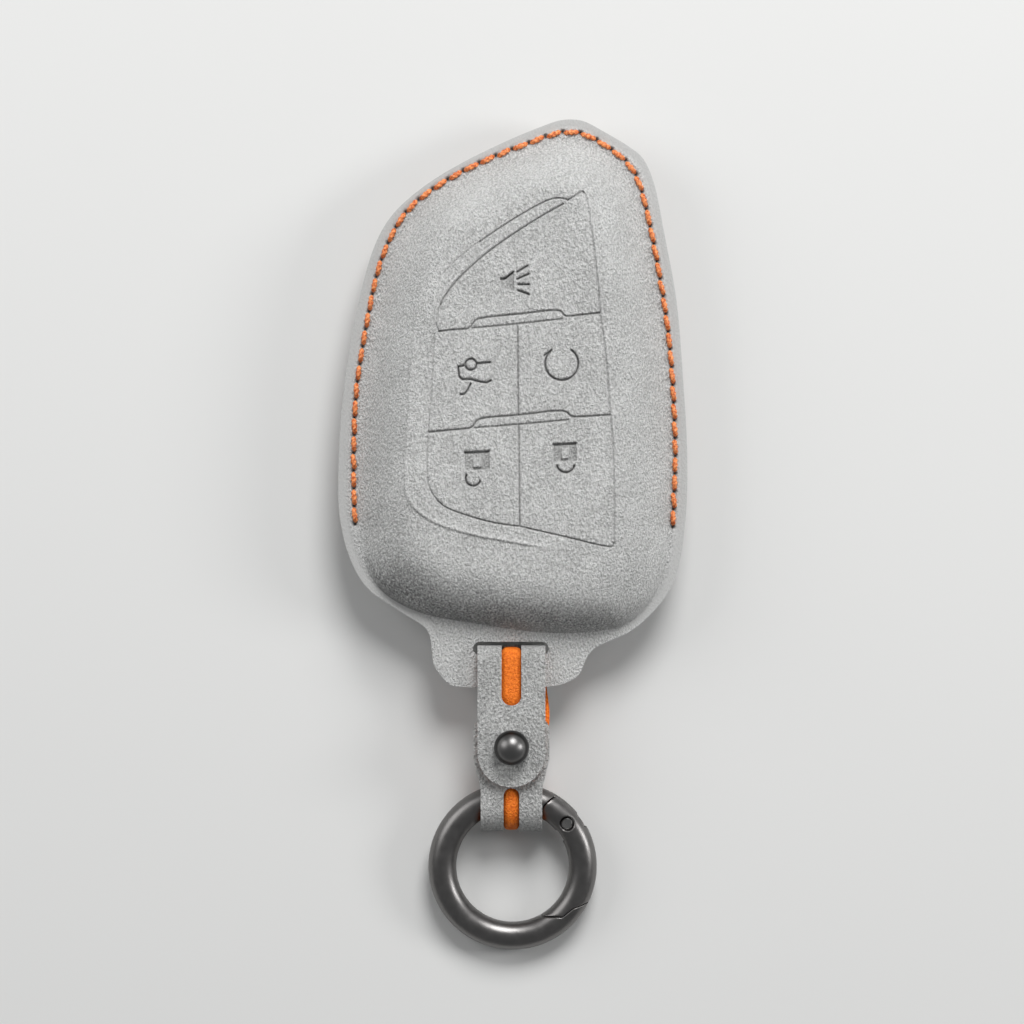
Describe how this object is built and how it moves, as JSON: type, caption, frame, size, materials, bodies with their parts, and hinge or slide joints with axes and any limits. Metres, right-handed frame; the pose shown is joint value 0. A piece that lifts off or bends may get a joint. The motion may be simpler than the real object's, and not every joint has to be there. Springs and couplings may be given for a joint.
{
  "type": "key fob cover",
  "caption": "Moulded suede cover for a car key fob with stitched edge, embossed button panel, buttoned strap and a spring gate ring to clip keys on",
  "frame": {"origin": "in the middle of the flat back that the cover lies on", "axes": "+Y to the rounded top of the cover, away from the ring; +Z out of the front with its buttons; +X to the right seen from the front"},
  "size_m": [0.0618, 0.1474, 0.0173],
  "materials": {
    "grey_suede": "light grey suede with a short nap",
    "pocket_lining": "dark microfibre",
    "orange_thread": "waxed twisted thread",
    "orange_leather": "fine grained, matt",
    "stud_metal": "polished gunmetal plating",
    "gunmetal": "satin gunmetal plating",
    "spring_steel": "drawn wire"
  },
  "bodies": {
    "cover": {"front_cover": "grey_suede", "back_cover": "grey_suede", "front_lining": "pocket_lining", "back_lining": "pocket_lining", "front_thread": "orange_thread", "back_thread": "orange_thread"},
    "strap": {"strap_leather": "grey_suede", "strap_lining": "orange_leather", "ball_stud": "stud_metal", "stud_screw": "stud_metal"},
    "flap": {"flap_leather": "grey_suede", "flap_lining": "orange_leather"},
    "ring": {"ring_body": "gunmetal"},
    "gate": {"ring_gate": "gunmetal", "gate_pin": "stud_metal", "gate_spring": "spring_steel"}
  },
  "joints": [
    {"name": "strap_swing", "type": "hinge", "parent": "cover", "child": "strap", "pos_m": [0, -0.05125, 0.0077], "axis": [-1, 0, 0], "range_deg": [-10, 14]},
    {"name": "flap_open", "type": "hinge", "parent": "strap", "child": "flap", "pos_m": [0, -0.05465, 0.01125], "axis": [-1, 0, 0], "range_deg": [0, 75], "deforming": ["flap_leather", "flap_lining"]},
    {"name": "ring_swing", "type": "hinge", "parent": "strap", "child": "ring", "pos_m": [0, -0.07445, 0.00477], "axis": [-1, 0, 0], "range_deg": [-30, 45]},
    {"name": "gate_open", "type": "hinge", "parent": "ring", "child": "gate", "pos_m": [0.00965, -0.07818, 0.00442], "axis": [0, 0.094, -0.9956], "range_deg": [0, 25], "stiffness_Nm_per_rad": 0.05, "springref_deg": -17.19, "deforming": ["gate_spring"]}
  ]
}
